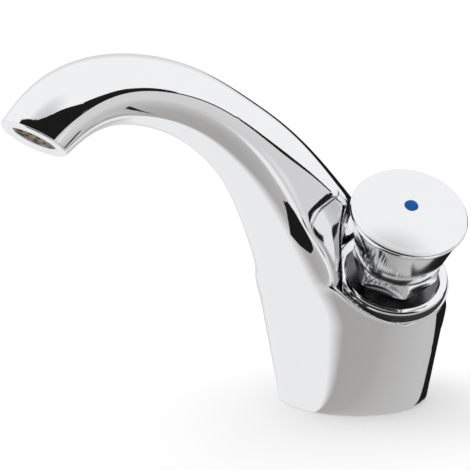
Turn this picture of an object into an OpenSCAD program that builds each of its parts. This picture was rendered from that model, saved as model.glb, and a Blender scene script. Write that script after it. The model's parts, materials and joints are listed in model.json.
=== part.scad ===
// Push timed tap: cone foot, arched spout and a tilted push button with its timing cartridge.
// Millimetres, +Z up. The deck is z = 0 and the foot's axis is x = y = 0; the spout points to -Y.

/* [Foot] */
// Diameter of the foot near the deck
foot_d = 50; // [49:0.5:52]
// Height of the cone up to the shoulder
shoulder_h = 36; // [35:0.5:38]
// Widening of the cone's radius per millimetre of height
cone_slope = 0.19; // [0.17:0.01:0.22]
// Depth of the hollow under the foot
hollow_h = 22; // [16:1:24]

/* [Spout] */
// Reach from the foot's axis to the middle of the mouth
spout_reach = 138.8; // [134:0.2:146]
// Height of the spout's centre line at its crown
crown_h = 116; // [112:0.5:122]
// Outside radius at the mouth
mouth_r = 10.8; // [10.6:0.1:11.6]
// Turn of the mouth from straight up
mouth_tilt = 145.5; // [142:0.5:147]
// Wall of the spout round its waterway
spout_wall = 4; // [3:0.1:4.4]
// Radius of the waterway in the neck
neck_bore = 5.6; // [4.6:0.1:6]

/* [Button seat] */
// Middle of the seat, to the right of the foot's axis
seat_x = 17.4; // [17:0.1:18]
// Middle of the seat, behind the foot's axis
seat_y = -0.6; // [-1:0.1:0]
// Height of the middle of the seat
seat_z = 44.6; // [44:0.1:45.4]
// Lean of the button's axis from upright
head_tilt = 38; // [36.5:0.5:39.5]
// Turn of the button's axis from straight ahead to the right
head_turn = 58; // [56:0.5:60]
// Width of the seat outside the collar
seat_rim = 0.9; // [0.7:0.1:1.4]
// Place of the flat beside the button, where it would cross the deck level
facet_x = 19.85; // [19.5:0.05:20.5]
// Turn of that flat towards the front
facet_turn = 5.1; // [4:0.1:6]
// Lean of that flat
facet_lean = 1.8; // [1:0.1:2.4]
// Depth of the hollow in the lower half of that flat
facet_bow = 2.6; // [2:0.1:3]
// Room left free round the collar and the cap
head_room = 0.5; // [0.4:0.05:0.8]
// Depth of the boss below the seat
boss_h = 14; // [10:0.5:16]

/* [Button] */
// Travel of the button
travel = 5; // [3:0.5:5]
// Radius of the cap's rim
cap_r = 19.4; // [18.8:0.1:20]
// Height of the cap's rim above the seat
cap_h = 31.6; // [31:0.1:33]
// Rise of the domed face above the rim
dome_h = 3.8; // [3:0.1:4.4]
// Width across the six flats
hex_af = 25.6; // [25:0.1:26]
// Radius of the collar
collar_r = 18.6; // [18.3:0.1:19]
// Radius of the index dot
dot_r = 2.2; // [2.1:0.05:2.6]

/* [Cartridge] */
// Radius of the barrel's guide tube
guide_r = 10.4; // [10.2:0.05:10.4]
// Radius of the timing chamber
chamber_r = 8.6; // [8.4:0.05:8.8]
// Radius of the stem in its gland
stem_r = 2.5; // [2.3:0.05:2.6]
// Radius of the stem's two ends
stem_end_r = 2; // [1.9:0.05:2.1]
// Turns of the return spring
spring_turns = 6; // [5:1:7]
// Radius of the spring wire
wire_r = 0.55; // [0.45:0.05:0.6]

/* [Outlet] */
// Radius of the opening in the outlet housing
outlet_r = 8; // [7.7:0.05:8.1]
// Radius of the holes in the outlet insert
jet_r = 0.75; // [0.6:0.05:0.85]

/* [Mounts] */
// Radius of the inlet thread's bore
inlet_r = 7.5; // [7.3:0.05:7.6]
// Length of the inlet thread
inlet_len = 9; // [8:0.5:10]
// Radius of the fixing stud's bore
stud_r = 3.4; // [3.2:0.05:3.5]
// Depth of the fixing stud's bore
stud_len = 14; // [12:0.5:15]

/* [Clearances] */
// Radial gap of parts that slide
run_gap = 0.05; // [0.03:0.01:0.08]
// Radial gap of parts that sit still
sit_gap = 0.05; // [0.03:0.01:0.08]
// Wide gap round moving parts
free_gap = 0.3; // [0.3:0.05:0.4]

/* [Hidden] */
$fn = 64;
e = 0.5;
rise = crown_h - shoulder_h;
foot_r = foot_d / 2;
shoulder_r = foot_r + cone_slope * shoulder_h;
mouth_z = shoulder_h + 0.8565 * rise;
inlet_at = [-2, 11];
stud_at = [0, -13];
skin_sides = 40;
bore_sides = 16;

// levels along the button's axis, counted from the seat
floor_w = -4;
gasket_t = 0.8;
flange_w = floor_w + gasket_t;
flange_t = 1.8;
ledge_w = flange_w + flange_t;
land_w = -13;
chest_w = -24;
nose_w = -30;
seat_w = -25;
seat_top = -22;
gland_w = -9;
gland_t = 1;
cup_w = -12;
cup_r = stem_r + 1.4;
spring_w = gland_w + gland_t;
piston_w = 8;
piston_t = 4;
clip_t = 0.8;
bush_w = piston_w + piston_t + clip_t + free_gap;
bush_t = 2.4;
ring_w = bush_w + bush_t;
ring_t = 0.9;
tube_w = ring_w + 1.8;
hex_w = travel;
hex_h = 7.6;
skirt_w = hex_w + hex_h;
hub_w = ring_w + ring_t + travel + 0.6;
stem_top = cap_h - 3.6;
screw_w = cap_h - 1.6;
dot_w = cap_h + 1.4;
room_top = cap_h - 6.1;
seal_t = 2;
boss_r = collar_r + seat_rim;
pocket_r = collar_r + head_room;
chest_r = 14;
bay_r = 17.2;
barrel_r = 11.4;
nose_r = 10;
seat_bore_r = 7.6;
seat_hole_r = 3.8;
washer_r = 5.4;
washer_t = 2.6;
plate_t = 1.6;
nut_t = 3;
valve_way_r = 7;
flow_r = 6.5;
port_r = 2.6;
shell_t = 4;
space_h = 60;
needle_at = 4.6;
needle_r = 0.4;
screw_r = 1.2;

// levels along the mouth's axis, counted out of the spout
outlet_bore = outlet_r + 1.05;
outlet_h = 8;
outlet_seal_t = 1;
lip_w = -1.2;
insert_t = 2.2;
mesh_t = 0.6;

// skin of the spout: share of the reach, share of the rise, half depth, turn, half width over half depth
skin_marks = [
    [0.076, 0.119, 25.3, 7, 1.05],
    [0.139, 0.25, 20.4, 18, 1.05],
    [0.28, 0.564, 15.3, 33, 1],
    [0.422, 0.775, 12, 58, 1],
    [0.581, 0.9275, 11.3, 80, 1],
    [0.767, 0.999, 10.95, 97, 1],
    [0.909, 0.96, 11.3, 124, 1]
];
// neck of the waterway: side shift, share of the reach, share of the rise, turn
neck_marks = [
    [5, 0.007, -0.037, 40],
    [-3, 0.108, 0.075, 45],
    [-5, 0.209, 0.25, 38],
    [-4, 0.302, 0.575, 36]
];

function skin_ring(m) = [0, -m[0] * spout_reach, shoulder_h + m[1] * rise, m[2], m[3], m[2] * m[4]];
function cone_ring(z, r) = [0, 0, z, r, 0, r];
function cone_r(z) = foot_r + cone_slope * z;
mouth_ring = [0, -spout_reach, mouth_z, mouth_r, mouth_tilt, mouth_r];
skin_line = concat(
    [cone_ring(shoulder_h, shoulder_r)],
    [for (m = skin_marks) skin_ring(m)],
    [mouth_ring]
);
foot_line = concat(
    [cone_ring(0, foot_r - 1.2), cone_ring(0.6, foot_r - 0.3), cone_ring(1.8, foot_r + 0.3)],
    [for (i = [1:4]) cone_ring(shoulder_h * i / 5, cone_r(shoulder_h * i / 5))]
);

// the waterway follows the neck marks, then the middle of the spout
bore_end = [
    0,
    -spout_reach + sin(mouth_tilt) * (outlet_h - 1),
    mouth_z - cos(mouth_tilt) * (outlet_h - 1),
    outlet_r - 1,
    mouth_tilt,
    outlet_r - 1
];
bore_line = concat(
    [for (m = neck_marks) [m[0], -m[1] * spout_reach, shoulder_h + m[2] * rise, neck_bore, m[3], neck_bore]],
    [for (i = [3:6]) let (r = skin_marks[i][2] - spout_wall)
        [0, -skin_marks[i][0] * spout_reach, shoulder_h + skin_marks[i][1] * rise, r, skin_marks[i][3], r]],
    [bore_end]
);

// smooth line of rings through the marks
function blend(a, b, c, d, t) =
    0.5 * (2 * b + (c - a) * t + (2 * a - 5 * b + 4 * c - d) * t * t + (3 * b - a - 3 * c + d) * t * t * t);
function smooth(m, before, steps) = concat(
    [for (i = [0:len(m) - 2])
        let (a = i == 0 ? before : m[i - 1])
        let (d = i == len(m) - 2 ? 2 * m[i + 1] - m[i] : m[i + 2])
        for (j = [0:steps - 1]) blend(a, m[i], m[i + 1], d, j / steps)],
    [m[len(m) - 1]]
);
function ring_points(g, sides) = [
    for (k = [0:sides - 1])
        let (u = 360 * k / sides)
        [g[0] + g[5] * cos(u), g[1] + g[3] * sin(u) * cos(g[4]), g[2] + g[3] * sin(u) * sin(g[4])]
];

// closed skin over rings of points that follow each other
module skin(points, sides) {
    n = floor(len(points) / sides);
    quads = [for (i = [0:n - 2]) for (k = [0:sides - 1])
        [i * sides + k, i * sides + (k + 1) % sides, (i + 1) * sides + (k + 1) % sides, (i + 1) * sides + k]];
    walls = [for (q = quads) each [[q[0], q[3], q[2]], [q[0], q[2], q[1]]]];
    first = [for (k = [0:sides - 1]) k];
    last = [for (k = [0:sides - 1]) n * sides - 1 - k];
    polyhedron(points = points, faces = concat([first], [last], walls));
}

module loft(line, sides) {
    skin([for (g = line) each ring_points(g, sides)], sides);
}

module at_head() {
    translate([seat_x, seat_y, seat_z])
        rotate([0, head_tilt, head_turn - 90])
            children();
}

module at_mouth() {
    translate([0, -spout_reach, mouth_z])
        rotate([mouth_tilt, 0, 0])
            children();
}

// round bar and pipe between two levels
module bar(r, from, to) {
    translate([0, 0, from])
        cylinder(r = r, h = to - from);
}

module pipe(r_in, r_out, from, to) {
    difference() {
        bar(r_out, from, to);
        bar(r_in, from - e, to + e);
    }
}

module ring(mid, r, at) {
    translate([0, 0, at])
        rotate_extrude()
            translate([mid, 0])
                circle(r = r);
}

chrome = [0.82, 0.83, 0.85];
brass = [0.75, 0.6, 0.3];
rubber = [0.08, 0.08, 0.08];
steel = [0.6, 0.62, 0.64];
resin = [0.9, 0.9, 0.86];

// foot, spout and button seat in one casting
module body_casting() {
    color(chrome)
        difference() {
            union() {
                difference() {
                    loft(concat(foot_line, smooth(skin_line, cone_ring(shoulder_h * 0.8, cone_r(shoulder_h * 0.8)), 4)),
                        skin_sides);
                    head_space();
                }
                at_head()
                    bar(boss_r, -boss_h, 0);
            }
            at_head() {
                bar(bay_r, floor_w, e);
                bar(chest_r, chest_w, floor_w + e);
                bar(nose_r, nose_w - 1, chest_w + e);
                bar(valve_way_r, nose_w - 9, nose_w);
            }
            translate([inlet_at[0], inlet_at[1], 0]) {
                bar(inlet_r, -e, inlet_len);
                bar(inlet_r - 1.1, 0, inlet_len + 2.5);
                bar(5, 0, inlet_len + 7);
            }
            translate([stud_at[0], stud_at[1], 0])
                bar(stud_r, -e, stud_len);
            pipe(foot_r - 4.5, foot_r - 2.1, -e, 1.6);
            foot_hollow();
            loft(smooth(bore_line, 2 * bore_line[0] - bore_line[1], 3), bore_sides);
            at_mouth()
                bar(outlet_bore, -outlet_h, e);
        }
}

// height at which the flat beside the button starts to bow outwards, and where its far end turns away
bow_top = shoulder_h + 0.55 * rise;
bow_h = 0.48 * rise;
turn_from = 0.325 * spout_reach;
turn_end = 0.6 * spout_reach;
function bow(z) = facet_bow * pow(max(0, bow_top - z) / bow_h, 2);
function turn_out(y) = 5.2 * pow(max(0, -y - turn_from) / (turn_end - turn_from), 2);

// room for the button: a round pocket, and a flared one that stops at the flat beside it
module head_space() {
    at_head()
        cylinder(r1 = pocket_r, r2 = pocket_r + 0.03 * space_h, h = space_h);
    intersection() {
        at_head() {
            rotate_extrude()
                polygon([
                    [0, 0],
                    [boss_r - 0.4, 0],
                    [boss_r + 0.3 * space_h, 0.3 * space_h + 0.5],
                    [boss_r + 0.9 * space_h, space_h],
                    [0, space_h]
                ]);
            translate([-space_h, 0, 0])
                cube([2 * space_h, space_h, space_h]);
        }
        translate([facet_x, 0, 0])
            rotate([90, 0, -facet_turn])
                linear_extrude(2 * spout_reach, center = true)
                    polygon(concat(
                        [for (i = [0:24]) let (z = i * crown_h / 20) [bow(z) - tan(facet_lean) * z, z]],
                        [[spout_reach, 1.2 * crown_h], [spout_reach, 0]]
                    ));
        translate([facet_x, 0, 0])
            rotate([0, -facet_lean, 0])
                linear_extrude(2 * crown_h)
                    polygon(concat(
                        [for (i = [0:30]) let (y = spout_reach * (0.5 - i / 20)) [tan(facet_turn) * y + turn_out(y), y]],
                        [[spout_reach, -spout_reach], [spout_reach, 0.5 * spout_reach]]
                    ));
    }
}

// room under the foot, clear of the walls round its bores
module foot_hollow() {
    difference() {
        translate([0, 0, -e])
            cylinder(r1 = foot_r - 5.5, r2 = foot_r - 5.5 + cone_slope * hollow_h, h = hollow_h + e);
        at_head()
            bar(chest_r + shell_t, nose_w - 9 - shell_t, 0);
        translate([inlet_at[0], inlet_at[1], 0])
            bar(inlet_r + 3.5, -2 * e, hollow_h + e);
        translate([stud_at[0], stud_at[1], 0])
            bar(stud_r + 4.1, -2 * e, hollow_h + e);
    }
}

module base_gasket() {
    color(rubber)
        pipe(foot_r - 4.5 + sit_gap, foot_r - 2.1 - sit_gap, 0, 1.6);
}

// disc with a middle hole and six round it
module inlet_filter() {
    color(steel)
        translate([inlet_at[0], inlet_at[1], inlet_len])
            difference() {
                bar(inlet_r - 1.1 - sit_gap, 0, 1.2);
                bar(1.2, -e, 2);
                for (i = [0:5])
                    rotate(60 * i)
                        translate([3.6, 0, 0])
                            bar(1.2, -e, 2);
            }
}

module flow_regulator() {
    color(resin)
        translate([inlet_at[0], inlet_at[1], inlet_len + 1.2])
            pipe(2.2, inlet_r - 1.1 - sit_gap, 0, 1.3);
}

module flange_gasket() {
    color(rubber)
        at_head()
            pipe(chest_r + 0.2, bay_r - 0.1, floor_w, flange_w);
}

// barrel screwed into the seat, with the guide tube for the cap
module cartridge_barrel() {
    color(brass)
        at_head()
            difference() {
                union() {
                    bar(nose_r - 2 * sit_gap, nose_w, chest_w + 0.2);
                    bar(barrel_r, chest_w + 0.2, land_w);
                    bar(chest_r - sit_gap, land_w, flange_w);
                    bar(bay_r - 0.3, flange_w, ledge_w);
                    bar(guide_r, ledge_w, tube_w);
                }
                pipe(nose_r - 1.8, nose_r + e, nose_w + 1.6, nose_w + 3.6);
                bar(seat_bore_r, nose_w - e, seat_top);
                bar(flow_r, seat_top - e, cup_w - 2);
                bar(stem_r + 0.1, cup_w - 3, cup_w + e);
                bar(cup_r, cup_w, gland_w + e);
                bar(chamber_r, gland_w, tube_w + e);
                bar(chamber_r + 0.6, ring_w, ring_w + ring_t + 0.1);
                for (i = [0, 90])
                    translate([0, 0, land_w - 5])
                        rotate([0, 90, i])
                            bar(port_r, -barrel_r - e, barrel_r + e);
            }
}

module nose_o_ring() {
    color(rubber)
        at_head()
            ring(nose_r - 0.91, 0.89, nose_w + 2.6);
}

module seat_insert() {
    color(steel)
        at_head()
            pipe(seat_hole_r, seat_bore_r - sit_gap, seat_w, seat_top);
}

module stem_seal() {
    color(rubber)
        at_head()
            ring(stem_r + 0.7, 0.68, cup_w + 0.68);
}

// disc over the stem's seal, with the needle's hole
module gland_plate() {
    color(brass)
        at_head()
            difference() {
                union() {
                    bar(chamber_r - 2 * sit_gap, gland_w, spring_w);
                    bar(cup_r - sit_gap, cup_w + 1.36, gland_w);
                }
                bar(stem_r + 0.1, cup_w, spring_w + e);
                translate([needle_at, 0, 0])
                    bar(needle_r, gland_w - e, spring_w + e);
            }
}

module timing_needle() {
    color(steel)
        at_head()
            translate([needle_at, 0, 0])
                bar(needle_r, gland_w, piston_w + piston_t + 0.4);
}

module top_bush() {
    color(brass)
        at_head()
            pipe(stem_end_r + run_gap, chamber_r - sit_gap, bush_w, ring_w);
}

module circlip() {
    color(steel)
        at_head()
            difference() {
                pipe(chamber_r - 1.2, chamber_r + 0.55, ring_w, ring_w + ring_t);
                translate([0, -1.5, ring_w - e])
                    cube([12, 3, ring_t + 2 * e]);
            }
}

// one wire wound between the gland plate and the piston
spring_mid = 6.4;
spring_from = spring_w + wire_r;
spring_pitch = (piston_w - spring_w - 2 * wire_r) / spring_turns;
spring_steps = 12;
spring_gap = spring_pitch - 2 * wire_r;
echo(spring_gap = spring_gap);

module return_spring() {
    color(steel)
        at_head()
            skin([for (i = [0:spring_turns * spring_steps])
                for (k = [0:5])
                    let (u = 360 * i / spring_steps)
                    let (v = 30 + 60 * k)
                    let (r = spring_mid + wire_r * cos(v))
                    [r * cos(u), r * sin(u), spring_from + spring_pitch * u / 360 - wire_r * sin(v)]], 6);
}

// stem with its collar under the seat, clip groove and tapped end
module stem() {
    color(steel)
        at_head()
            difference() {
                union() {
                    bar(stem_end_r, seat_w - washer_t - plate_t - nut_t - 0.4, seat_w);
                    bar(seat_hole_r - 0.4, seat_w, seat_w + 1.2);
                    bar(stem_r, seat_w + 1.2, piston_w);
                    bar(stem_end_r, piston_w, stem_top);
                }
                pipe(stem_end_r - 0.5, stem_end_r + e, piston_w + piston_t, piston_w + piston_t + clip_t);
                bar(screw_r, stem_top - 7.5, stem_top + e);
            }
}

module piston() {
    color(resin)
        at_head()
            difference() {
                pipe(stem_end_r + 0.02, chamber_r - free_gap, piston_w, piston_w + piston_t);
                pipe(chamber_r - 1.6, chamber_r + e, piston_w + 1, piston_w + 2.8);
                translate([needle_at, 0, 0])
                    bar(needle_r + 0.1, piston_w - e, piston_w + piston_t + e);
            }
}

module piston_clip() {
    color(steel)
        at_head()
            difference() {
                pipe(stem_end_r - 0.45, stem_end_r + 1.4, piston_w + piston_t, piston_w + piston_t + clip_t);
                translate([-6, -0.8, piston_w + piston_t - e])
                    cube([6, 1.6, clip_t + 2 * e]);
            }
}

module piston_seal() {
    color(rubber)
        at_head()
            translate([0, 0, piston_w + 1])
                rotate_extrude()
                    polygon([
                        [chamber_r - 1.58, 0],
                        [chamber_r - 0.4, 0],
                        [chamber_r - run_gap, 1.8],
                        [chamber_r - 1.58, 1.8]
                    ]);
}

module valve_washer() {
    color(rubber)
        at_head()
            pipe(stem_end_r + 0.02, washer_r, seat_w - washer_t, seat_w);
}

module valve_plate() {
    color(brass)
        at_head()
            pipe(stem_end_r + 0.02, washer_r, seat_w - washer_t - plate_t, seat_w - washer_t);
}

module valve_nut() {
    color(brass)
        at_head()
            difference() {
                translate([0, 0, seat_w - washer_t - plate_t - nut_t])
                    cylinder(r = (stem_end_r + 1.5) / cos(30), h = nut_t, $fn = 6);
                bar(stem_end_r + 0.02, seat_w - washer_t - plate_t - nut_t - e, seat_w - washer_t);
            }
}

// dome over the rim, tapering skirt and six flats
rim_w = cap_h + 0.9;
dome_w = cap_h + 0.5 + dome_h;
dome_line = [for (i = [0:9]) let (t = 1 - i / 10) [(cap_r - 0.5) * t, dome_w - (dome_w - rim_w) * t * t]];
cap_line = concat(
    [
        [0, skirt_w - 1],
        [hex_af / 2 - 0.2, skirt_w - 1],
        [hex_af / 2 + 1.6, skirt_w],
        [cap_r - 0.8, cap_h - 0.6],
        [cap_r - 0.15, cap_h - 0.1],
        [cap_r, cap_h + 0.2],
        [cap_r - 0.1, cap_h + 0.6]
    ],
    dome_line,
    [[0, dome_w]]
);
guide_bay = guide_r + 0.6;

module push_cap() {
    color(chrome)
        at_head()
            difference() {
                union() {
                    rotate_extrude()
                        polygon(cap_line);
                    intersection() {
                        translate([0, 0, hex_w])
                            cylinder(r = hex_af / 2 / cos(30), h = hex_h, $fn = 6);
                        bar(hex_af / 2 + 1.9, hex_w, skirt_w);
                    }
                }
                bar(guide_bay, hex_w - e, hex_w + 5);
                difference() {
                    union() {
                        bar(guide_r + free_gap, hex_w, skirt_w + 1);
                        translate([0, 0, skirt_w + 1])
                            cylinder(r1 = guide_r + free_gap, r2 = guide_r + 2.6, h = room_top - skirt_w - 1);
                    }
                    bar(5, hub_w, stem_top);
                }
                bar(stem_end_r + sit_gap, hub_w - e, stem_top);
                bar(screw_r + 0.1, stem_top - e, screw_w + e);
                bar(dot_r + sit_gap, screw_w, dome_w + e);
            }
}

module cap_guide() {
    color(resin)
        at_head()
            pipe(guide_r + run_gap, guide_bay - sit_gap, hex_w + 0.6, hex_w + 5);
}

module cap_screw() {
    color(steel)
        at_head() {
            bar(dot_r - 0.1, screw_w, dot_w);
            bar(screw_r, stem_top - 7, screw_w);
        }
}

module index_dot() {
    color([0.02, 0.2, 0.6])
        at_head()
            bar(dot_r, dot_w, dome_w + 0.05);
}

module collar_seal() {
    color(rubber)
        at_head()
            pipe(collar_r - 1.2, pocket_r - 0.1, 0, seal_t);
}

// ring round the foot of the button, standing on the barrel's flange
module collar() {
    color(chrome)
        at_head()
            rotate_extrude()
                polygon([
                    [bay_r - 1.6, ledge_w],
                    [bay_r - sit_gap, ledge_w],
                    [bay_r - sit_gap, seal_t],
                    [collar_r, seal_t],
                    [collar_r, seal_t + 0.4],
                    [collar_r - 0.3, seal_t + 0.85],
                    [collar_r - 0.9, seal_t + 1.1],
                    [bay_r - 0.9, seal_t + 1.1],
                    [bay_r - 1.6, seal_t + 0.6]
                ]);
}

module outlet_housing() {
    color(chrome)
        at_mouth()
            rotate_extrude()
                polygon([
                    [outlet_r, lip_w],
                    [outlet_r, 0.5],
                    [outlet_r + 0.4, 0.9],
                    [mouth_r - 0.9, 0.9],
                    [mouth_r - 0.3, 0.3],
                    [mouth_r - 0.3, 0],
                    [outlet_bore - sit_gap, 0],
                    [outlet_bore - sit_gap, outlet_seal_t - outlet_h],
                    [outlet_r + 0.3, outlet_seal_t - outlet_h],
                    [outlet_r + 0.3, lip_w]
                ]);
}

// disc with nineteen jets
module outlet_insert() {
    color(brass)
        at_mouth()
            difference() {
                bar(outlet_r + 0.25, lip_w - insert_t, lip_w);
                bar(jet_r, lip_w - insert_t - e, lip_w + e);
                for (i = [0:5])
                    rotate(60 * i)
                        translate([2.6, 0, 0])
                            bar(jet_r, lip_w - insert_t - e, lip_w + e);
                for (i = [0:11])
                    rotate(30 * i + 15)
                        translate([5.6, 0, 0])
                            bar(jet_r, lip_w - insert_t - e, lip_w + e);
            }
}

module outlet_mesh() {
    color(steel)
        at_mouth()
            translate([0, 0, lip_w - insert_t - mesh_t]) {
                pipe(outlet_r - 0.6, outlet_r + 0.2, 0, mesh_t);
                for (i = [-2:2])
                    translate([0, 2.4 * i, mesh_t / 2]) {
                        half = sqrt((outlet_r - 0.2) * (outlet_r - 0.2) - (2.4 * abs(i) + 0.3) * (2.4 * abs(i) + 0.3));
                        cube([2 * half, 0.6, mesh_t], center = true);
                    }
            }
}

module outlet_seal() {
    color(rubber)
        at_mouth()
            pipe(outlet_r - 0.7, outlet_bore - 0.1, -outlet_h, outlet_seal_t - outlet_h);
}

body_casting();
base_gasket();
inlet_filter();
flow_regulator();
flange_gasket();
cartridge_barrel();
nose_o_ring();
seat_insert();
stem_seal();
gland_plate();
timing_needle();
top_bush();
circlip();
return_spring();
stem();
piston();
piston_clip();
piston_seal();
valve_washer();
valve_plate();
valve_nut();
push_cap();
cap_guide();
cap_screw();
index_dot();
collar_seal();
collar();
outlet_housing();
outlet_insert();
outlet_mesh();
outlet_seal();
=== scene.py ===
import json
import math

import bmesh
import bpy
import numpy as np
from mathutils import Matrix, Vector
from mathutils.bvhtree import BVHTree


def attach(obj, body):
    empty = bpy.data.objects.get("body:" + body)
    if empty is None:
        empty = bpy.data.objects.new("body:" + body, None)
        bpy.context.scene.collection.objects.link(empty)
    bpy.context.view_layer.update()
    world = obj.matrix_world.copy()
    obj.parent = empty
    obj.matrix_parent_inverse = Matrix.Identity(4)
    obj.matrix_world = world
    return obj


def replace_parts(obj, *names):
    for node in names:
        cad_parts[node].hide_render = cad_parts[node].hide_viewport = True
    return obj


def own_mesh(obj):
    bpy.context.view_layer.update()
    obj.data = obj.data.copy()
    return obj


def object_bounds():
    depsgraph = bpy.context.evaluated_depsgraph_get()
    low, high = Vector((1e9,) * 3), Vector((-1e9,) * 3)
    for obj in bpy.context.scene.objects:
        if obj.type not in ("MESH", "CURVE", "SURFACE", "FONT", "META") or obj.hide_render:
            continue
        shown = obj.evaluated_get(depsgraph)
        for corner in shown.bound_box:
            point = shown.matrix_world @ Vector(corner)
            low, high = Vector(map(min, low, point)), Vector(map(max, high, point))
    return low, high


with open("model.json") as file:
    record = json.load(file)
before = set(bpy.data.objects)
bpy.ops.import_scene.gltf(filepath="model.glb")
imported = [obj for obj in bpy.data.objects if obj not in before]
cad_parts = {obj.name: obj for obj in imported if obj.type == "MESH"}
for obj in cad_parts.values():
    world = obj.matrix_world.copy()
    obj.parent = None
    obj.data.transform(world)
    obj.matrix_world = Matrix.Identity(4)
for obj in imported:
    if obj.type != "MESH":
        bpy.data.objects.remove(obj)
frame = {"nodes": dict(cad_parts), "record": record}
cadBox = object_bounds()
mm = 0.001  # the shapes below are in millimetres
mergeGap = 2e-7  # metres, points closer than this become one
print("frame loaded", len(frame["nodes"]), "nodes")

# the button leans on this axis, counted from the middle of its seat
buttonAxis = {"seat": (17.4, -0.6, 44.6), "lean": 38.0, "turn": 58.0}


def headPlace():
    turn = Matrix.Rotation(math.radians(buttonAxis["turn"] - 90), 4, "Z")
    lean = Matrix.Rotation(math.radians(buttonAxis["lean"]), 4, "Y")
    return Matrix.Translation(Vector(buttonAxis["seat"])) @ turn @ lean


headMatrix = headPlace()
headUp = headMatrix.to_3x3() @ Vector((0, 0, 1))
headSide = headMatrix.to_3x3() @ Vector((0, 1, 0))


# materials, all on object coordinates
bumpDepth = 0.0002  # metres


def objectCoords(tree, scale):
    coord = tree.nodes.new("ShaderNodeTexCoord")
    mapping = tree.nodes.new("ShaderNodeMapping")
    mapping.inputs["Scale"].default_value = scale
    tree.links.new(coord.outputs["Object"], mapping.inputs["Vector"])
    return mapping.outputs["Vector"]


def noiseRamp(tree, vector, scale, detail, low, high):
    noise = tree.nodes.new("ShaderNodeTexNoise")
    noise.inputs["Scale"].default_value = scale
    noise.inputs["Detail"].default_value = detail
    tree.links.new(vector, noise.inputs["Vector"])
    ramp = tree.nodes.new("ShaderNodeMapRange")
    ramp.inputs["To Min"].default_value = low
    ramp.inputs["To Max"].default_value = high
    tree.links.new(noise.outputs["Fac"], ramp.inputs["Value"])
    return noise, ramp.outputs["Result"]


def tintRamp(tree, noise, low, high):
    ramp = tree.nodes.new("ShaderNodeValToRGB")
    ramp.color_ramp.elements[0].color = (*low, 1)
    ramp.color_ramp.elements[1].color = (*high, 1)
    tree.links.new(noise.outputs["Fac"], ramp.inputs["Fac"])
    return ramp.outputs["Color"]


def bumpFrom(tree, noise, strength):
    bump = tree.nodes.new("ShaderNodeBump")
    bump.inputs["Strength"].default_value = strength
    bump.inputs["Distance"].default_value = bumpDepth
    tree.links.new(noise.outputs["Fac"], bump.inputs["Height"])
    return bump.outputs["Normal"]


def grainedFinish(name, low, high, rough, grain, bump, detail, stretch=(1, 1, 1)):
    # one noise varies tint and roughness, and gives the grain its height
    mat = bpy.data.materials.new(name)
    mat.use_nodes = True
    tree = mat.node_tree
    shader = tree.nodes["Principled BSDF"]
    noise, roughness = noiseRamp(tree, objectCoords(tree, stretch), grain, detail, *rough)
    tree.links.new(tintRamp(tree, noise, low, high), shader.inputs["Base Color"])
    tree.links.new(roughness, shader.inputs["Roughness"])
    if bump:
        tree.links.new(bumpFrom(tree, noise, bump), shader.inputs["Normal"])
    return mat, shader


def metalFinish(name, low, high, rough, grain, bump=0.0, stretch=(1, 1, 1)):
    mat, shader = grainedFinish(name, low, high, rough, grain, bump, detail=4, stretch=stretch)
    shader.inputs["Metallic"].default_value = 1.0
    return mat


def plainFinish(name, low, high, rough, grain, bump, shine=0.5):
    mat, shader = grainedFinish(name, low, high, rough, grain, bump, detail=5)
    shader.inputs["Specular IOR Level"].default_value = shine
    return mat


# name, tint from and to, roughness from and to, grain, height of the grain, then stretch or shine
finishes = {
    "chrome": metalFinish(
        "polishedChrome", (0.93, 0.935, 0.945), (0.955, 0.957, 0.962), (0.015, 0.04), 55),
    "capChrome": metalFinish(
        "buffedChrome", (0.93, 0.935, 0.945), (0.955, 0.957, 0.962), (0.085, 0.11), 55),
    "satinChrome": metalFinish(
        "satinChrome", (0.86, 0.86, 0.865), (0.93, 0.93, 0.93), (0.16, 0.26), 140, 0.02),
    # the cartridge barrel gets a near-black tone: painted shade down in the well under the button
    "barrelPaintedShade": metalFinish(
        "barrelPaintedShade", (0.14, 0.14, 0.145), (0.22, 0.22, 0.23), (0.22, 0.36), 220, 0.04, (1, 1, 6)),
    # outlet insert: brass with its own specked grain, darkened towards black as painted shade inside the
    # recessed mouth
    "insertPaintedShade": metalFinish(
        "brassInPaintedShade", (0.05, 0.03, 0.015), (0.42, 0.31, 0.17), (0.22, 0.5), 800, 0.3),
    "rawCasting": metalFinish(
        "rawCasting", (0.5, 0.41, 0.26), (0.66, 0.56, 0.36), (0.4, 0.6), 260, 0.3),
    "brass": metalFinish(
        "turnedBrass", (0.62, 0.44, 0.2), (0.78, 0.6, 0.32), (0.16, 0.3), 400, 0.05, (1, 1, 9)),
    "steel": metalFinish(
        "drawnSteel", (0.5, 0.5, 0.51), (0.64, 0.64, 0.66), (0.18, 0.32), 500, 0.05, (1, 1, 7)),
    "rubber": plainFinish(
        "blackRubber", (0.012, 0.012, 0.013), (0.03, 0.03, 0.03), (0.5, 0.7), 700, 0.15),
    "resin": plainFinish(
        "offWhiteResin", (0.74, 0.74, 0.69), (0.84, 0.84, 0.8), (0.35, 0.5), 300, 0.06),
    "blue": plainFinish(
        "blueEnamel", (0.0, 0.07, 0.27), (0.002, 0.09, 0.33), (0.3, 0.42), 500, 0.04, 0.12),
}
print("finishes ready")


# tools for the pieces

def meshObject(name, bm, *materials):
    mesh = bpy.data.meshes.new(name)
    bm.to_mesh(mesh)
    bm.free()
    for material in materials:
        mesh.materials.append(material)
    obj = bpy.data.objects.new(name, mesh)
    bpy.context.scene.collection.objects.link(obj)
    return obj


def finishPiece(bm, name, body, material, crease=0.6):
    # edges that turn by more than the crease, in radians, stay sharp
    bmesh.ops.remove_doubles(bm, verts=bm.verts[:], dist=mergeGap)
    bmesh.ops.recalc_face_normals(bm, faces=bm.faces[:])
    for edge in bm.edges:
        edge.smooth = edge.calc_face_angle(0) < crease
    for face in bm.faces:
        face.smooth = True
    piece = meshObject(name, bm, material)
    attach(piece, body)
    return piece


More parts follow.
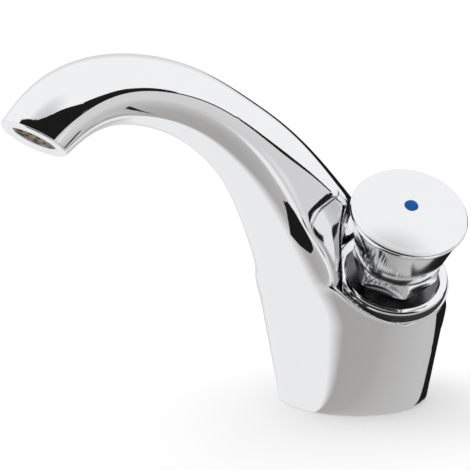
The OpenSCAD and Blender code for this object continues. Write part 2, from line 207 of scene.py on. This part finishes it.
def gridSkin(rows):
    # a grid laid over rows of points, each row closed one way round
    rowCount, sideCount = rows.shape[:2]
    bm = bmesh.new()
    bmesh.ops.create_grid(bm, x_segments=sideCount, y_segments=rowCount - 1, size=1.0)
    for v in bm.verts:
        i = round((v.co.x + 1) * 0.5 * sideCount) % sideCount
        j = round((v.co.y + 1) * 0.5 * (rowCount - 1))
        v.co = rows[j, i]
    bmesh.ops.remove_doubles(bm, verts=bm.verts[:], dist=mergeGap)
    return bm


cornerShare = 0.48  # most of a side that one rounded corner may take


def rounded(points, steps):
    # points are radius, height and corner radius; corners become short arcs
    out = []
    for k, (r, w, radius) in enumerate(points):
        here = Vector((r, w))
        if radius <= 0 or k in (0, len(points) - 1):
            out.append((r, w))
            continue
        before = Vector(points[k - 1][:2]) - here
        after = Vector(points[k + 1][:2]) - here
        cut = radius / math.tan(before.angle(after) / 2)
        cut = min(cut, before.length * cornerShare, after.length * cornerShare)
        start = here + before.normalized() * cut
        end = here + after.normalized() * cut
        for s in range(steps + 1):
            t = s / steps
            p = start * (1 - t) ** 2 + here * 2 * t * (1 - t) + end * t ** 2
            out.append((p.x, p.y))
    return out


def turnedPiece(shape, matrix, closed=True):
    # the profile turned once round the Z of the matrix
    bm = bmesh.new()
    verts = [bm.verts.new((r * mm, 0, w * mm)) for r, w in rounded(shape["profile"], shape["arcSteps"])]
    pairs = list(zip(verts, verts[1:]))
    if closed:
        pairs.append((verts[-1], verts[0]))
    edges = [bm.edges.new(pair) for pair in pairs]
    bmesh.ops.spin(bm, geom=verts + edges, cent=(0, 0, 0), axis=(0, 0, 1), angle=math.tau,
                   steps=shape["sides"], use_merge=True)
    place = matrix.copy()
    place.translation = matrix.translation * mm
    bmesh.ops.transform(bm, matrix=place, verts=bm.verts[:])
    return bm


def onHead(grid):
    place = np.array(headMatrix)
    return grid @ place[:3, :3].T + place[:3, 3]


def softMin(a, b, k):
    # the smaller of two, rounded over where they differ by less than k
    h = np.clip(0.5 + 0.5 * (b - a) / k, 0, 1)
    return b * (1 - h) + a * h - k * h * (1 - h)


# body: rings up the cone and along the spout, with the room for the button cut away
bodyShape = {
    "reach": 138.8, "crown": 116.0, "shoulder": 36.0, "sides": 256,
    # foot: height and radius of its rounded edge, then a cone
    "footEdge": [
        (0, 23.95), (0.12, 24.32), (0.3, 24.65), (0.55, 24.92), (0.9, 25.13), (1.35, 25.25), (2.0, 25.38),
    ],
    "footRadius": 25.0, "slope": 0.19, "coneFrom": 3.0, "coneTop": 32.0, "coneRings": 70, "conePull": 14.0,
    # spout: share of the reach, share of the rise, radius, turn, widening
    "marks": [
        (0.076, 0.119, 25.3, 7, 1.05),
        (0.139, 0.25, 20.4, 18, 1.05),
        (0.28, 0.564, 15.3, 33, 1.0),
        (0.422, 0.775, 12.0, 58, 1.0),
        (0.581, 0.9275, 11.3, 80, 1.0),
        (0.767, 0.999, 10.95, 97, 1.0),
        (0.909, 0.96, 11.3, 124, 1.0),
    ],
    "mouthRise": 0.8565, "mouthRadius": 10.8, "mouthTurn": 145.5,  # rise: a share, as in the marks
    "neckSteps": (44, 40, 30, 26, 24, 24, 22, 18),
    # seat: a boss for the cartridge, and the room for the button above it
    "bossRadius": 19.5, "bossDepth": 14.0, "bossBlend": 3.0,
    "seatDepth": 0.5, "seatRise": (0.4, 0.5),  # start inside the boss's edge, slope
    "pocket": (19.1, 0.03), "pocketBlend": 1.5,  # radius, widening upwards
    "flare": (0.6, 0.006, 0.85), "flareBlend": 0.6,  # slope, bend, steepness
    "crest": 1.4,  # rounds every edge of the room
    # flat on the right side
    "flat": (19.849, 0.0891, 0.031),  # place in x, and its change along y and z
    "flatSlant": 1.0045,  # length of its normal
    "flatBend": (0.0036, 45.0),  # bend towards the spout, and from where
    "bow": (2.4, 71.0, 49.0),  # bulge at its foot, top and foot of the bulge
    "scoop": (6.0, 14.0, 24.0),  # dip beside the collar, its width and height
    # search for the skin along each spoke
    "shares": (0.02, 1.6, 130), "halvings": 16, "inwardBelow": -3.0, "cutReach": 90.0,
    # opening for the cartridge: radius, lowest and highest face
    "seatHole": (17.8, -1.2, 0.3),
    # which faces of the casting are kept for the inside
    "castingMerge": 0.001, "skinGap": 2.2, "flush": 0.02, "mouthFace": 11.0,
    "ledgeFlush": 0.05, "ledgeFacing": 0.99,
    "crease": 3.2,  # more than half a turn, so the skin has no sharp edge
}


def mouthPlace():
    b = bodyShape
    middle = Vector((0, -b["reach"], b["shoulder"] + b["mouthRise"] * (b["crown"] - b["shoulder"])))
    return Matrix.Translation(middle) @ Matrix.Rotation(math.radians(b["mouthTurn"]), 4, "X")


mouthMatrix = mouthPlace()


def ringMarks():
    # each row: y, z, radius, turn, widening
    b = bodyShape
    rise = b["crown"] - b["shoulder"]
    rows = [(0, b["coneTop"], b["footRadius"] + b["slope"] * b["coneTop"], 0, 1)]
    for share, up, radius, turn, wide in b["marks"]:
        rows.append((-share * b["reach"], b["shoulder"] + up * rise, radius, turn, wide))
    rows.append((-b["reach"], b["shoulder"] + b["mouthRise"] * rise, b["mouthRadius"], b["mouthTurn"], 1))
    return np.array(rows, float)


def smoothRings(marks, steps, startSlope):
    # cubic curve through the marks, with even curvature
    count = len(marks)
    left = np.zeros((count, count))
    right = np.zeros_like(marks)
    left[0, 0] = 1
    right[0] = startSlope
    for i in range(1, count - 1):
        left[i, i - 1:i + 2] = (1, 4, 1)
        right[i] = 3 * (marks[i + 1] - marks[i - 1])
    left[-1, -2:] = (1, 2)
    right[-1] = 3 * (marks[-1] - marks[-2])
    slope = np.linalg.solve(left, right)
    rows = []
    for i in range(count - 1):
        for t in np.arange(steps[i]) / steps[i]:
            rows.append((2 * t ** 3 - 3 * t ** 2 + 1) * marks[i] + (t ** 3 - 2 * t ** 2 + t) * slope[i]
                        + (3 * t ** 2 - 2 * t ** 3) * marks[i + 1] + (t ** 3 - t ** 2) * slope[i + 1])
    rows.append(marks[-1])
    return np.array(rows)


def bodyRings():
    b = bodyShape
    edgeZ, edgeR = np.array(b["footEdge"]).T
    coneZ = np.concatenate([edgeZ, np.linspace(b["coneFrom"], b["coneTop"], b["coneRings"])[:-1]])
    coneR = b["footRadius"] + b["slope"] * coneZ
    coneR[:len(edgeR)] = edgeR
    cone = np.stack([0 * coneZ, coneZ, coneR, 0 * coneZ, 1 + 0 * coneZ], 1)
    startSlope = b["conePull"] * np.array([0, 1, b["slope"], 0, 0])
    return np.vstack([cone, smoothRings(ringMarks(), b["neckSteps"], startSlope)])


def bodySpokes(rings):
    # the middle of each ring, and spokes from it to the plain skin
    sides = bodyShape["sides"]
    y, z, radius, turn, wide = rings.T
    turn = np.radians(turn)[:, None]
    around = np.arange(sides) / sides * math.tau
    middle = np.stack([0 * y, y, z], 1)
    across = (radius * wide)[:, None] * np.cos(around)
    along = radius[:, None] * np.sin(around)
    return middle, np.stack([across, along * np.cos(turn), along * np.sin(turn)], 2)


def seatCoords(place):
    # height over the seat, distance from the button's axis, way across it
    local = place - np.array(buttonAxis["seat"])
    w = local @ np.array(headUp)
    r = np.sqrt(np.maximum((local ** 2).sum(-1) - w ** 2, 0))
    return w, r, local @ np.array(headSide)


def flatGap(place, w, r):
    # how far inside the flat a place lies
    b = bodyShape
    x, y, z = np.moveaxis(place, -1, 0)
    start, alongY, alongZ = b["flat"]
    bend, bendFrom = b["flatBend"]
    flat = start + alongY * y - alongZ * z + bend * np.maximum(0, -y - bendFrom) ** 2
    bulge, top, foot = b["bow"]
    down = np.clip((top - z) / (top - foot), 0, 1)
    flat = flat + bulge * down ** 2 * (3 - 2 * down)
    dip, wide, tall = b["scoop"]
    beside = np.clip(1 - (r - b["pocket"][0]) / wide, 0, 1)
    flat = flat - dip * beside ** 2 * np.clip(1 - w / tall, 0, 1)
    return (flat - x) / b["flatSlant"]


def outsideMetal(place, skin):
    # negative inside the metal; skin is the same for the plain rings
    b = bodyShape
    w, r, across = seatCoords(place)
    boss = np.maximum(np.maximum(r - b["bossRadius"], w), -b["bossDepth"] - w)
    metal = softMin(skin, boss, b["bossBlend"])
    radius, widening = b["pocket"]
    pocket = r - radius - widening * w
    slope, bend, steep = b["flare"]
    flare = np.where(across < 0, (r - radius - slope * w - bend * w ** 2) * steep, -1)
    wall = -softMin(-flare, -flatGap(place, w, r), b["flareBlend"])
    start, slope = b["seatRise"]
    rise = np.where(across < 0, np.maximum(0, r - b["bossRadius"] + start) * slope, 0)
    above = np.maximum(rise - w, softMin(pocket, wall, b["pocketBlend"]))
    seatCut = np.maximum(r - b["bossRadius"], -b["seatDepth"] - w)
    return -softMin(-metal, np.minimum(above, seatCut), b["crest"])


def skinShares(middle, spoke):
    # share of each spoke where the metal ends: the first on the spout, the last on the foot
    b = bodyShape
    length = np.linalg.norm(spoke, axis=2)

    def isOut(share):
        return outsideMetal(middle[:, None, :] + spoke * share[..., None], (share - 1) * length) > 0

    inward = (seatCoords(middle)[0] < b["inwardBelow"])[:, None] & np.ones(length.shape, bool)
    shares = np.linspace(*b["shares"])
    states = np.stack([isOut(np.full_like(length, s)) for s in shares])
    low = np.zeros_like(length)
    high = np.full_like(length, shares[-1])
    found = np.zeros(length.shape, bool)
    for k in range(1, len(shares)):
        first = ~found & states[k] & ~inward
        last = inward & states[k] & ~states[k - 1]
        low = np.where(first | last, shares[k - 1], low)
        high = np.where(first | last, shares[k], high)
        found |= first
    for k in range(b["halvings"]):
        half = (low + high) / 2
        out = isOut(half)
        high = np.where(out, half, high)
        low = np.where(out, low, half)
    near = np.linalg.norm(middle - np.array(buttonAxis["seat"]), axis=1) < b["cutReach"]
    return np.where(near[:, None], (low + high) / 2, 1.0)


def bodyRows():
    middle, spoke = bodySpokes(bodyRings())
    rows = middle[:, None, :] + spoke * skinShares(middle, spoke)[..., None]
    return np.clip(rows, np.array(cadBox[0]) / mm, np.array(cadBox[1]) / mm)  # no larger than the solids


def makeSkin():
    # the skin, open where the cartridge goes in, and a search tree of it for the inside
    seat = Vector(buttonAxis["seat"]) * mm
    radius, low, high = [value * mm for value in bodyShape["seatHole"]]
    rows = bodyRows()
    bm = gridSkin(rows * mm)
    hole = []
    for face in bm.faces:
        local = face.calc_center_median() - seat
        w = local.dot(headUp)
        if (local - headUp * w).length < radius and low < w < high:
            hole.append(face)
    bmesh.ops.delete(bm, geom=hole, context="FACES")
    bmesh.ops.recalc_face_normals(bm, faces=bm.faces[:])
    tree = BVHTree.FromBMesh(bm)
    print("body skin", len(rows), "rings")
    return finishPiece(bm, "bodySkin", "tap", finishes["chrome"], bodyShape["crease"]), tree


def nearSkin(tree, face):
    # on the skin or outside it
    for v in face.verts:
        place, normal, index, gap = tree.find_nearest(v.co)
        if gap < bodyShape["skinGap"] * mm or (v.co - place).dot(normal) > 0:
            return True
    return False


def makeInside(tree):
    # the bores, the hollow foot and the flat ends follow the casting
    b = bodyShape
    seat = Vector(buttonAxis["seat"]) * mm
    mouth = mouthMatrix.translation * mm
    mouthOut = mouthMatrix.to_3x3() @ Vector((0, 0, 1))
    bm = bmesh.new()
    bm.from_mesh(frame["nodes"]["body_casting"].data)
    bmesh.ops.remove_doubles(bm, verts=bm.verts[:], dist=b["castingMerge"] * mm)
    bmesh.ops.recalc_face_normals(bm, faces=bm.faces[:])
    covered = []
    for face in bm.faces:
        middle = face.calc_center_median()
        onFoot = middle.z < b["flush"] * mm
        fromMouth = middle - mouth
        onMouth = abs(fromMouth.dot(mouthOut)) < b["flush"] * mm and fromMouth.length < b["mouthFace"] * mm
        if onFoot or onMouth:
            face.material_index = 1  # chrome
            continue
        overSeat = abs((middle - seat).dot(headUp))
        onLedge = overSeat < b["ledgeFlush"] * mm and face.normal.dot(headUp) > b["ledgeFacing"]
        if onLedge or nearSkin(tree, face):
            covered.append(face)
    bmesh.ops.delete(bm, geom=covered, context="FACES")
    inside = meshObject("bodyInside", bm, finishes["rawCasting"], finishes["chrome"])
    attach(inside, "tap")
    print("body inside", len(inside.data.polygons), "faces")


def makeBody():
    skin, tree = makeSkin()
    makeInside(tree)
    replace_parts(skin, "body_casting")


# rounded lip round the seat
seatLip = {
    "profile": [(17.25, -1.6, 0), (17.25, 0.0, 0.12), (19.52, 0.0, 0.3), (19.52, -0.9, 0.2), (19.0, -1.6, 0)],
    "arcSteps": 5, "sides": 160,
}


def makeLip():
    finishPiece(turnedPiece(seatLip, headMatrix), "seatLip", "tap", finishes["chrome"])


# collar: sleeve down into the seat, and a rounded bead over the seal
collarShape = {
    "profile": [
        (15.6, -1.4, 0), (17.1, -1.4, 0), (17.1, 2.0, 0), (18.45, 2.0, 0.12), (18.58, 2.35, 0.2),
        (18.3, 2.8, 0.3), (17.7, 3.08, 0.3), (16.3, 3.08, 0.3), (15.6, 2.6, 0.4),
    ],
    "arcSteps": 6, "sides": 160,
}


def makeCollar():
    bm = turnedPiece(collarShape, headMatrix)
    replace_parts(finishPiece(bm, "collarRing", "tap", finishes["chrome"]), "collar")


# black ring between collar and seat, with a groove round it
sealShape = {
    "profile": [
        (17.45, 0.0, 0), (18.95, 0.0, 0.1), (18.95, 0.7, 0.3), (18.6, 1.0, 0.1), (18.6, 1.15, 0.1),
        (18.85, 1.4, 0.2), (18.6, 1.98, 0.2), (17.45, 1.98, 0),
    ],
    "arcSteps": 4, "sides": 160,
}


def makeSeal():
    bm = turnedPiece(sealShape, headMatrix)
    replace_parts(finishPiece(bm, "collarSeal", "tap", finishes["rubber"]), "collar_seal")


# cap: six flats with turned chamfers, tapering skirt, rim and domed face
capShape = {
    "sides": 240, "arcSteps": 5,
    # inside, from the hub down to the lower edge
    "bore": [
        (1.3, 30.0), (1.3, 28.0), (2.05, 28.0), (2.05, 22.0), (5.0, 22.0), (5.0, 25.5), (12.95, 25.5),
        (10.7, 13.6), (10.7, 10.0), (11.0, 10.0), (11.0, 5.25), (11.2, 5.02),
    ],
    "hexFlat": 12.78, "hexCorner": 14.65, "hexBlend": 0.25,
    "hexRows": [(5.0, 5.8, 10), (6.2, 11.4, 8), (11.6, 12.58, 12)],  # from, to, count
    "lowerChamfer": (13.1, 5.0, 2.0), "upperChamfer": (14.4, 12.6, 1.2), "chamferBlend": 0.15,
    "skirt": [
        (13.78, 12.59, 0), (14.38, 12.6, 0.05), (18.55, 31.0, 0.35), (19.2, 31.25, 0.25),
        (19.38, 31.75, 0.3), (18.96, 32.45, 0.5), (17.58, 32.98, 0),
    ],
    "dome": (18.96, 32.45, 35.9), "domeRows": (0.9, 0.13, 16),  # radius, edge and top; shares of the radius
    "dotHole": [(2.45, 35.86), (2.3, 35.8), (2.25, 35.7), (2.25, 30.0), (1.3, 30.0)],
}


def hexRadius(w, around):
    # six flats, cut back by a chamfer below and one above
    c = capShape
    sixth = math.pi / 3
    fromCorner = np.abs((around + sixth / 2) % sixth - sixth / 2)
    flat = c["hexFlat"] / np.cos(sixth / 2 - fromCorner)
    flat = softMin(flat, c["hexCorner"] + 0 * flat, c["hexBlend"])
    radius, height, slope = c["lowerChamfer"]
    lower = radius + (w - height) * slope
    radius, height, slope = c["upperChamfer"]
    upper = radius + (height - w) * slope
    return softMin(flat, min(lower, upper) + 0 * flat, c["chamferBlend"])


def makeCap():
    c = capShape
    around = np.arange(c["sides"]) / c["sides"] * math.tau
    rows = list(c["bore"])
    for w in np.concatenate([np.linspace(*row) for row in c["hexRows"]]):
        rows.append((hexRadius(w, around), w))
    rows += rounded(c["skirt"], c["arcSteps"])[1:]
    radius, edge, top = c["dome"]
    rows += [(radius * t, top - (top - edge) * t ** 2) for t in np.linspace(*c["domeRows"])]
    rows += c["dotHole"]
    grid = [np.stack([r * np.cos(around), r * np.sin(around), w + 0 * around], 1) for r, w in rows]
    bm = gridSkin(onHead(np.stack(grid)) * mm)
    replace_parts(finishPiece(bm, "pushCap", "button", finishes["capChrome"]), "push_cap")
    print("cap", len(rows), "rows")


# dot: low blue button in the middle of the face
dotShape = {
    "profile": [(0.0, 33.0, 0), (2.2, 33.0, 0), (2.2, 35.78, 0.12), (1.2, 35.93, 0.5), (0.0, 35.945, 0)],
    "arcSteps": 4, "sides": 64,
}


def makeDot():
    bm = turnedPiece(dotShape, headMatrix, closed=False)
    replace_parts(finishPiece(bm, "indexDot", "button", finishes["blue"]), "index_dot")


# return spring: one wire wound from the gland plate up to the piston
springShape = {
    "middle": 6.4, "wire": 0.54, "turns": 6, "low": -8.0, "high": 8.0, "press": 5.0,
    "turnSteps": 40, "wireSides": 12,
}


def makeSpring():
    s = springShape
    reach = s["high"] - s["low"]
    turn = np.linspace(0, s["turns"] * math.tau, s["turns"] * s["turnSteps"] + 1)[:, None]
    around = np.arange(s["wireSides"]) / s["wireSides"] * math.tau
    r = s["middle"] + s["wire"] * np.cos(around) + 0 * turn
    w = s["low"] + s["wire"] + (reach - 2 * s["wire"]) * turn / turn[-1] + s["wire"] * np.sin(around)
    bm = gridSkin(onHead(np.stack([r * np.cos(turn), r * np.sin(turn), w], 2)) * mm)
    bmesh.ops.holes_fill(bm, edges=[e for e in bm.edges if e.is_boundary], sides=0)
    piece = finishPiece(bm, "returnSpring", "tap", finishes["steel"])
    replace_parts(piece, "return_spring")
    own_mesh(piece)


# outlet ring in the mouth, with a lip over the edge of the insert
outletShape = {
    "profile": [
        (7.1, -1.15, 0), (7.1, -0.3, 0.2), (8.1, 0.88, 0.4), (9.2, 0.88, 0.3), (10.5, 0.5, 0.4),
        (10.5, 0.0, 0), (9.0, 0.0, 0), (9.0, -7.0, 0), (8.3, -7.0, 0), (8.3, -1.15, 0),
    ],
    "arcSteps": 5, "sides": 128,
}


def makeOutlet():
    bm = turnedPiece(outletShape, mouthMatrix)
    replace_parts(finishPiece(bm, "outletRing", "tap", finishes["chrome"]), "outlet_housing")


makeBody()
makeLip()
makeCollar()
makeSeal()
makeCap()
makeDot()
makeSpring()
makeOutlet()
print("pieces made")

# the rest keeps its own shape and takes a finish by its slot
slotFinish = {
    "chrome": "satinChrome", "brass": "brass", "steel": "steel",
    "rubber": "rubber", "resin": "resin", "blue_dot": "blue",
}
for part in frame["record"]["subparts"]:
    node = frame["nodes"][part["node"]]
    node.data.materials.clear()
    node.data.materials.append(finishes[slotFinish[part["material_slot"]]])
# the barrel's dark tone is painted shade in the well, in place of its slot's finish
frame["nodes"]["cartridge_barrel"].data.materials[0] = finishes["barrelPaintedShade"]
# the insert's darkened brass is painted shade inside the mouth
frame["nodes"]["outlet_insert"].data.materials[0] = finishes["insertPaintedShade"]
print("nodes painted")


# stage: a pale floor with light and shade painted on it for the metal, and black cards that only the metal
# sees
blackTone = (0.011, 0.011, 0.0105)
paleTone = (0.86, 0.86, 0.87)


def direction(az, el):
    # azimuth 0 points along -Y
    a, e = math.radians(az), math.radians(el)
    return Vector((math.sin(a) * math.cos(e), -math.cos(a) * math.cos(e), math.sin(e)))


def stageMaterial(name):
    mat = bpy.data.materials.new(name)
    mat.use_nodes = True
    tree = mat.node_tree
    tree.nodes.clear()
    return mat, tree, tree.nodes.new("ShaderNodeOutputMaterial")


def spotRamp(tree, coord, kind, middle, turn, radius, stops):
    # one soft patch or fan on the floor
    mapping = tree.nodes.new("ShaderNodeMapping")
    mapping.vector_type = "TEXTURE"
    mapping.inputs["Location"].default_value = (*middle, 0)
    mapping.inputs["Rotation"].default_value = (0, 0, math.radians(turn))
    mapping.inputs["Scale"].default_value = (*radius, 1)
    shade = tree.nodes.new("ShaderNodeTexGradient")
    shade.gradient_type = kind
    ramp = tree.nodes.new("ShaderNodeValToRGB")
    for end in (0, -1):
        ramp.color_ramp.elements[end].position = stops[end][0]
        ramp.color_ramp.elements[end].color = (stops[end][1],) * 3 + (1,)
    for place, tone in stops[1:-1]:
        ramp.color_ramp.elements.new(place).color = (tone, tone, tone, 1)
    tree.links.new(coord, mapping.inputs["Vector"])
    tree.links.new(mapping.outputs["Vector"], shade.inputs["Vector"])
    tree.links.new(shade.outputs["Color"], ramp.inputs["Fac"])
    return ramp.outputs["Color"]


def mixTone(tree, share, under, over):
    mix = tree.nodes.new("ShaderNodeMix")
    mix.data_type = "RGBA"
    tree.links.new(share, mix.inputs["Factor"])
    for value, socket in ((under, mix.inputs[6]), (over, mix.inputs[7])):  # its two colours
        if isinstance(value, tuple):
            socket.default_value = (*value, 1)
        else:
            tree.links.new(value, socket)
    return mix.outputs[2]


# floor, in metres; from the tone near the tap on, what the metal sees of it: painted light and shade, darkest
# round the tap as a painted shadow
floorShape = {
    "size": 8.0, "tone": (0.9, 0.9, 0.9), "glow": 0.1,
    "paintedShadowTone": (0.39, 0.38, 0.37), "farTone": (0.6, 0.595, 0.6),
    "nearReach": (0.5, 0.5), "nearStops": [(0.55, 0.0), (0.83, 1.0)],
    # once round this place, counted from -X: how pale the floor is, with painted light on the pale side and
    # painted shade on the grey side
    "sideFrom": (0.0056, -0.0244),
    "sideStops": [
        (0.0, 1.0), (0.3, 1.0), (0.365, 0.0), (0.5, 0.04), (0.58, 0.2), (0.66, 0.32), (0.9, 0.32),
        (0.96, 1.0),
    ],
    # middle, turn, radius, stops, tone: soft pale and black patches painted on the floor for the metal
    "spots": [
        ((0.22, -0.01), 0.0, (0.09, 0.07), [(0.1, 0.0), (0.4, 1.0)], paleTone),
        ((0.52, 0.19), 25.0, (0.3, 0.065), [(0.05, 0.0), (0.5, 0.6)], paleTone),
        ((0.33, 0.04), 25.0, (0.05, 0.03), [(0.05, 0.0), (0.4, 1.0)], blackTone),
    ],
}


def floorLightAndShade(tree):
    # painted light and shade: pale on one side, a painted shadow grey round the tap, with soft painted spots
    f = floorShape
    coord = tree.nodes.new("ShaderNodeTexCoord").outputs["Object"]
    near = spotRamp(tree, coord, "SPHERICAL", (0, 0), 0, f["nearReach"], f["nearStops"])
    tone = mixTone(tree, near, f["farTone"], f["paintedShadowTone"])
    side = spotRamp(tree, coord, "RADIAL", f["sideFrom"], 0, (1, 1), f["sideStops"])
    tone = mixTone(tree, side, tone, paleTone)
    for middle, turn, radius, stops, spotTone in f["spots"]:
        tone = mixTone(tree, spotRamp(tree, coord, "SPHERICAL", middle, turn, radius, stops), tone, spotTone)
    return tone


def makeFloor():
    f = floorShape
    mat, tree, out = stageMaterial("paleFloor")
    matte = tree.nodes.new("ShaderNodeBsdfDiffuse")
    matte.inputs["Color"].default_value = (*f["tone"], 1)
    glow = tree.nodes.new("ShaderNodeEmission")
    glow.inputs["Strength"].default_value = f["glow"]
    ground = tree.nodes.new("ShaderNodeAddShader")
    # the metal sees the floor as a glow of this painted light and shade
    inMetal = tree.nodes.new("ShaderNodeEmission")
    tree.links.new(floorLightAndShade(tree), inMetal.inputs["Color"])
    rays = tree.nodes.new("ShaderNodeLightPath")
    pick = tree.nodes.new("ShaderNodeMixShader")
    tree.links.new(rays.outputs["Is Glossy Ray"], pick.inputs["Fac"])
    tree.links.new(matte.outputs["BSDF"], ground.inputs[0])
    tree.links.new(glow.outputs["Emission"], ground.inputs[1])
    tree.links.new(ground.outputs["Shader"], pick.inputs[1])
    tree.links.new(inMetal.outputs["Emission"], pick.inputs[2])
    tree.links.new(pick.outputs["Shader"], out.inputs["Surface"])
    bm = bmesh.new()
    bmesh.ops.create_grid(bm, x_segments=1, y_segments=1, size=f["size"] / 2)
    meshObject("floor", bm, mat)


cardShapes = {
    "floorGap": 0.2,
    # beside the camera: azimuth, lower and upper elevation, seen from a middle
    "rightMiddle": (0, -60, 90), "rightDistance": 1600,
    "rightEdge": [
        (-32, 59, 60), (-19, 56, 62.3), (8, 45, 63.6), (29, 30, 61.3), (50, 16, 55.8), (59, 14, 52.8),
        (67, 12, 49.2), (79, 10, 43.5), (106, 0, 26), (116, -2, 17), (121, -3, 13), (121.5, -3, -0.5),
        (146, -3, -1),
    ],
    # behind the foot, along the floor and up: azimuth, height
    "backReach": (32, 400),
    "backEdge": [
        (157, 10), (166, 12), (174, 20), (178, 125), (190, 135), (201, 165), (212, 190), (222, 200),
    ],
    # upright on the right, for the spout: y, lower and upper z
    "sideX": 317,
    "sideEdge": [
        (30, 110, 230), (90, 105, 205), (127, 100, 187), (150, 95, 178), (168, 90, 168), (187, 100, 135),
        (195, 112, 120),
    ],
    # small one low in front of the neck, two edges
    "frontEdges": [
        [(20.2, -56.4, 42.1), (26, -55.5, 50), (32.5, -54.3, 56.6), (43.3, -47.6, 57.5), (55.2, -38.5, 53)],
        [(23.8, -53.1, 40), (27, -51, 39.6), (29.9, -48.9, 39.4), (45.8, -42.3, 46.8), (55.2, -38.5, 52)],
    ],
    # on the floor behind the foot: y, right and left edge in x
    "footEdge": [
        (5, 25.6, 25.2), (12, 25.6, 23.4), (20, 25.6, 17), (30, 25.6, 8), (45, 25.4, 2), (60, 24.5, 0),
    ],
}


def cardRows():
    c = cardShapes
    gap = c["floorGap"]
    middle = Vector(c["rightMiddle"])
    reach = c["rightDistance"]
    near, far = c["backReach"]
    return {
        "rightCard": [[middle + direction(az, low) * reach for az, low, high in c["rightEdge"]],
                      [middle + direction(az, high) * reach for az, low, high in c["rightEdge"]]],
        "backCard": [[direction(az, 0) * near + Vector((0, 0, gap)) for az, high in c["backEdge"]],
                     [direction(az, 0) * far + Vector((0, 0, gap)) for az, high in c["backEdge"]],
                     [direction(az, 0) * far + Vector((0, 0, high)) for az, high in c["backEdge"]]],
        "sideCard": [[Vector((c["sideX"], y, low)) for y, low, high in c["sideEdge"]],
                     [Vector((c["sideX"], y, high)) for y, low, high in c["sideEdge"]]],
        "frontCard": [[Vector(place) for place in edge] for edge in c["frontEdges"]],
        "footCard": [[Vector((right, y, gap)) for y, right, left in c["footEdge"]],
                     [Vector((left, y, gap)) for y, right, left in c["footEdge"]]],
    }


def makeCards():
    black, tree, out = stageMaterial("blackCardTone")
    glow = tree.nodes.new("ShaderNodeEmission")
    glow.inputs["Color"].default_value = (*blackTone, 1)
    tree.links.new(glow.outputs["Emission"], out.inputs["Surface"])
    for name, rows in cardRows().items():
        across, up = len(rows[0]) - 1, len(rows) - 1
        bm = bmesh.new()
        bmesh.ops.create_grid(bm, x_segments=across, y_segments=up, size=1.0)
        for v in bm.verts:
            v.co = rows[round((v.co.y + 1) * 0.5 * up)][round((v.co.x + 1) * 0.5 * across)] * mm
        card = meshObject(name, bm, black)
        card.visible_camera = False
        card.visible_diffuse = False
        card.visible_shadow = False
        card.visible_transmission = False


makeFloor()
makeCards()
print("stage set")

# room: even white, with one wide soft lamp overhead; the metal sees it a little darker
roomShape = {
    "tone": (0.92, 0.92, 0.9292),
    # azimuth and elevation, then how near a ray starts and ends to be dark, and the tone
    "dark": [((45, 34), 0.7, 0.96, (0.6, 0.6, 0.6)), ((-134, 4), 0.8, 1.0, (0.7, 0.7, 0.7))],
}


def roomTone(tree):
    # white, darker towards the camera and far behind
    coord = tree.nodes.new("ShaderNodeTexCoord").outputs["Generated"]
    tone = roomShape["tone"]
    for place, low, high, dark in roomShape["dark"]:
        lean = tree.nodes.new("ShaderNodeVectorMath")
        lean.operation = "DOT_PRODUCT"
        lean.inputs[1].default_value = direction(*place)
        share = tree.nodes.new("ShaderNodeMapRange")
        share.interpolation_type = "SMOOTHSTEP"
        share.inputs["From Min"].default_value = low
        share.inputs["From Max"].default_value = high
        tree.links.new(coord, lean.inputs[0])
        tree.links.new(lean.outputs["Value"], share.inputs["Value"])
        tone = mixTone(tree, share.outputs["Result"], tone, dark)
    rays = tree.nodes.new("ShaderNodeLightPath")
    return mixTone(tree, rays.outputs["Is Glossy Ray"], (1.0, 1.0, 1.0), tone)


def makeRoom():
    world = bpy.data.worlds.new("whiteRoom")
    bpy.context.scene.world = world
    world.use_nodes = True
    back = world.node_tree.nodes["Background"]
    world.node_tree.links.new(roomTone(world.node_tree), back.inputs["Color"])
    back.inputs["Strength"].default_value = 1.0


# lamp, in metres and watts
lampShape = {"place": (-0.6, -0.5, 1.6), "target": (0.0, -0.05, 0.05), "size": 1.2, "energy": 3.0}


def addAimed(obj, target):
    obj.rotation_euler = (target - obj.location).to_track_quat("-Z", "Y").to_euler()
    bpy.context.scene.collection.objects.link(obj)


def makeLamp():
    data = bpy.data.lights.new("softTop", "AREA")
    data.shape = "DISK"
    data.size = lampShape["size"]
    data.energy = lampShape["energy"]
    lamp = bpy.data.objects.new("softTop", data)
    lamp.location = lampShape["place"]
    lamp.visible_glossy = False
    addAimed(lamp, Vector(lampShape["target"]))


# camera at the photograph's angle
cameraShape = {
    "target": (-28.15, -28.64, 56.3), "az": 45.49, "el": 11.29, "distance": 800.0,
    "lens": 181.84, "sensor": 36.0, "clipStart": 10.0,
}


def makeCamera():
    c = cameraShape
    data = bpy.data.cameras.new("view")
    data.lens = c["lens"]
    data.sensor_width = c["sensor"]
    data.clip_start = c["clipStart"] * mm
    camera = bpy.data.objects.new("view", data)
    target = Vector(c["target"]) * mm
    camera.location = target + direction(c["az"], c["el"]) * c["distance"] * mm
    addAimed(camera, target)
    bpy.context.scene.camera = camera


makeRoom()
makeLamp()
makeCamera()
bpy.context.scene.view_settings.view_transform = "Standard"
print("room, lamp and camera set")
